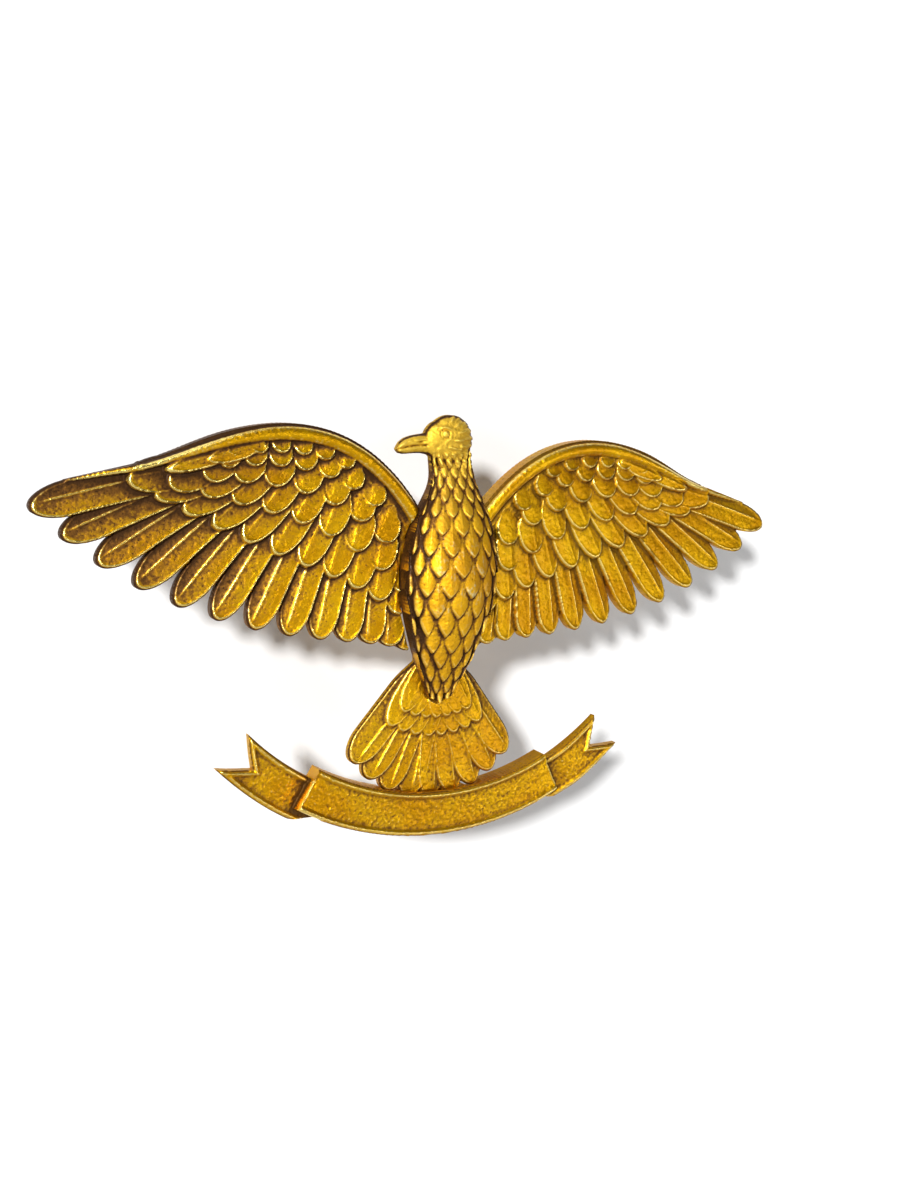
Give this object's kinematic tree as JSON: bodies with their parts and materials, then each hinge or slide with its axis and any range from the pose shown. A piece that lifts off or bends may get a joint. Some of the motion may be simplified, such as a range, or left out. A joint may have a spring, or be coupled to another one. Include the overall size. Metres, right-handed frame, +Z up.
{
  "type": "cap badge",
  "caption": "Gilt cap badge of a soaring sea bird over a plain scroll, built from struck pieces pegged to a carrier plate, with screw posts, washers and knurled thumb nuts.",
  "frame": {"origin": "midway between the two posts, on the plane of the flange faces, where the badge meets the cap", "axes": "+X along the wings, +Y along the posts into the cap, +Z up the bird towards its head; the front faces -Y"},
  "size_m": [0.0668, 0.0146, 0.0351],
  "materials": {
    "gilt_brass": "gilt, burnished on the high points, with brown patina in the recesses",
    "sheet_brass": "rolled sheet, dull, lightly tarnished",
    "turned_brass": "turned and knurled, satin",
    "nickel_steel": "nickel plated, satin"
  },
  "bodies": {
    "badge": {"wing_left": "gilt_brass", "wing_right": "gilt_brass", "tail_fan": "gilt_brass", "bird_body": "gilt_brass", "scroll": "gilt_brass", "carrier_plate": "sheet_brass", "body_pegs": "sheet_brass", "wing_pegs": "sheet_brass", "scroll_pegs": "sheet_brass", "post_flange_left": "sheet_brass", "post_flange_right": "sheet_brass", "post_left": "turned_brass", "post_right": "turned_brass"},
    "left_washer": {"washer_left": "nickel_steel"},
    "left_nut": {"nut_left": "turned_brass"},
    "right_washer": {"washer_right": "nickel_steel"},
    "right_nut": {"nut_right": "turned_brass"}
  },
  "joints": [
    {"name": "left_washer_travel", "type": "slide", "parent": "badge", "child": "left_washer", "axis": [0, 1, 0], "range_m": [0, 0.0054]},
    {"name": "left_nut_turn", "type": "hinge", "parent": "left_washer", "child": "left_nut", "pos_m": [-0.014, 0, 0], "axis": [0, 1, 0], "range_deg": [0, 4320]},
    {"name": "right_washer_travel", "type": "slide", "parent": "badge", "child": "right_washer", "axis": [0, 1, 0], "range_m": [0, 0.0054]},
    {"name": "right_nut_turn", "type": "hinge", "parent": "right_washer", "child": "right_nut", "pos_m": [0.014, 0, 0], "axis": [0, 1, 0], "range_deg": [0, 4320]}
  ],
  "couplings": [
    {"joint": "left_nut_turn", "follows": "left_washer_travel", "rad_per_m": 13963},
    {"joint": "right_nut_turn", "follows": "right_washer_travel", "rad_per_m": 13963}
  ]
}
